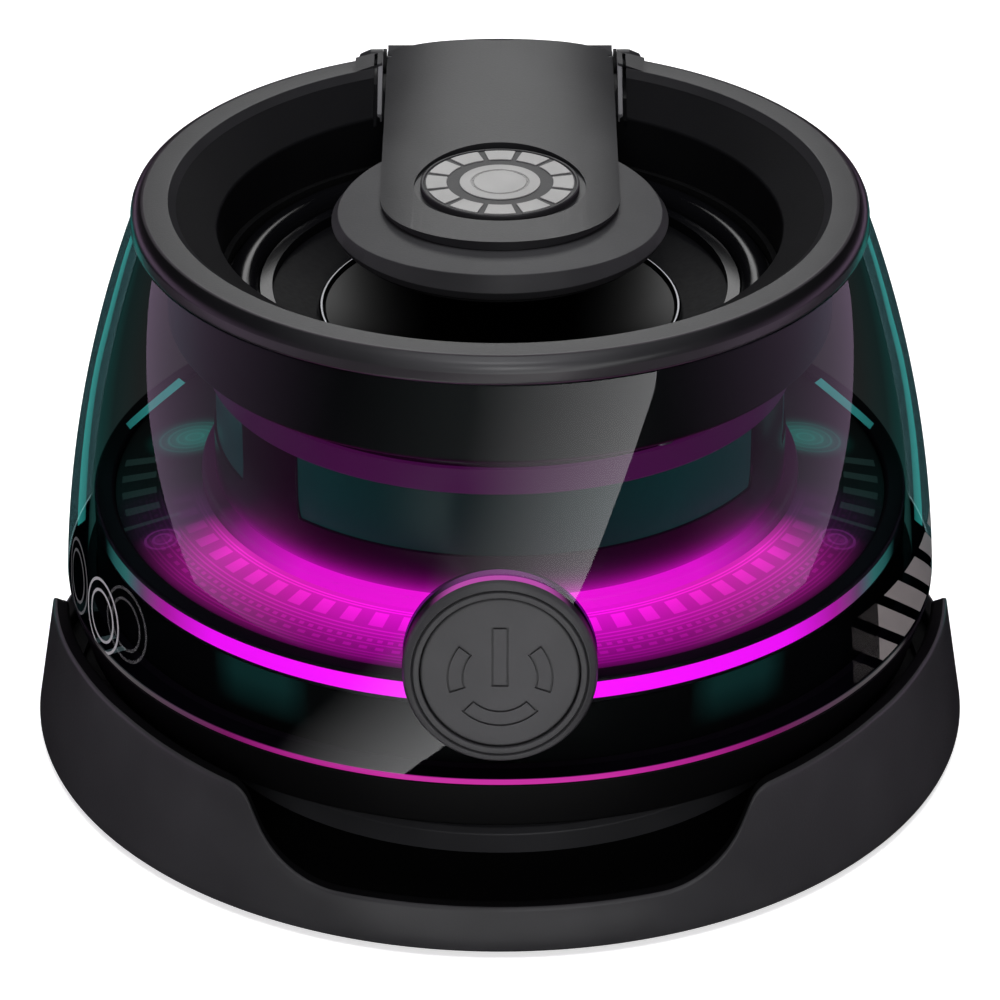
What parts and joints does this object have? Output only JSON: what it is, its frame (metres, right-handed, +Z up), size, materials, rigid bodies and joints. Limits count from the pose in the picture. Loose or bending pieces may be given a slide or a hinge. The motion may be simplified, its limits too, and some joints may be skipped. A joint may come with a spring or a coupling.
{
  "type": "bluetooth speaker with a flip-up phone arm",
  "caption": "Round table Bluetooth speaker: clear lit shell round a dark core, upward driver under a hinged magnetic phone arm, front power button and scooped base.",
  "frame": {"origin": "on the table, under the middle of the round base", "axes": "+Z up; the power button faces -Y; the arm's hinge is at +Y"},
  "size_m": [0.0966, 0.0966, 0.0593],
  "materials": {
    "graphite_plastic": "fine matte graphite plastic",
    "black_plastic": "black plastic",
    "dark_plastic": "dark grey plastic",
    "rubber": "black rubber",
    "screw_steel": "plated screw",
    "plated_steel": "nickel plated steel",
    "edge_glow": "lit diffusing plastic",
    "ring_glow": "lit diffusing plastic",
    "core_glow": "lit diffusing plastic",
    "board": "green solder mask",
    "lamp": "moulded lamp package",
    "deck_print": "printed dark deck",
    "gloss_black": "gloss black",
    "smoked_teal": "smoked teal panel",
    "violet_band": "dim lit band",
    "cell_foil": "foil pouch",
    "chip_black": "moulded package",
    "ferrite": "sintered ferrite",
    "painted_frame": "black painted steel",
    "spider_cloth": "treated cloth",
    "copper": "enamelled copper wire",
    "cone_black": "coated cone",
    "chrome": "bright ring",
    "gasket_foam": "foam gasket",
    "clear_plastic": "clear polycarbonate",
    "washer_nylon": "natural nylon",
    "badge_silver": "silver printed badge",
    "button_grey": "satin grey plastic",
    "gasket_pink": "translucent silicone"
  },
  "bodies": {
    "housing": {"base_ring": "graphite_plastic", "base_plate": "black_plastic", "foot_ring": "rubber", "reflector": "dark_plastic", "base_screws": "screw_steel", "lower_tub": "black_plastic", "radiator_surround": "rubber", "edge_light": "edge_glow", "charge_board": "board", "usb_socket": "plated_steel", "lamp_board": "board", "lamps": "lamp", "light_ring": "ring_glow", "deck": "deck_print", "core_light": "core_glow", "core": "gloss_black", "core_windows": "smoked_teal", "core_band": "violet_band", "cell_tray": "dark_plastic", "battery_cell": "cell_foil", "main_board": "board", "radio_module": "plated_steel", "board_parts": "chip_black", "board_screws": "screw_steel", "driver_yoke": "plated_steel", "driver_magnet": "ferrite", "driver_top_plate": "plated_steel", "driver_frame": "painted_frame", "spider": "spider_cloth", "surround": "rubber", "frame_gasket": "gasket_foam", "driver_cup": "gloss_black", "cup_screws": "screw_steel", "clear_shell": "clear_plastic", "rim": "graphite_plastic", "hinge_pin": "plated_steel", "hinge_washers": "washer_nylon", "button_ring": "button_grey", "button_gasket": "gasket_pink", "button_board": "board", "tact_switch": "chip_black"},
    "phone_arm": {"arm": "graphite_plastic", "magnet_holder": "graphite_plastic", "arm_magnets": "plated_steel", "face_pad": "rubber", "badge": "badge_silver", "arm_screws": "screw_steel"},
    "power_button": {"button_cap": "button_grey", "switch_plunger": "washer_nylon"},
    "driver_cone": {"cone": "cone_black", "voice_coil": "copper", "dust_cap": "gloss_black", "trim_ring": "chrome"},
    "bass_radiator": {"radiator_plate": "plated_steel"}
  },
  "joints": [
    {"name": "arm_hinge", "type": "hinge", "parent": "housing", "child": "phone_arm", "pos_m": [0, 0.034, 0.057], "axis": [-1, 0, 0], "range_deg": [0, 105]},
    {"name": "button_press", "type": "slide", "parent": "housing", "child": "power_button", "axis": [0, 0.9884, -0.152], "range_m": [0, 0.00035], "stiffness_N_per_m": 4000, "springref_m": -0.0001},
    {"name": "cone_slide", "type": "slide", "parent": "housing", "child": "driver_cone", "axis": [0, 0, 1], "range_m": [-0.0009, 0.0009], "stiffness_N_per_m": 2000, "deforming": ["surround", "spider"]},
    {"name": "radiator_slide", "type": "slide", "parent": "housing", "child": "bass_radiator", "axis": [0, 0, 1], "range_m": [-0.0012, 0.0012], "stiffness_N_per_m": 1000, "deforming": ["radiator_surround"]}
  ]
}
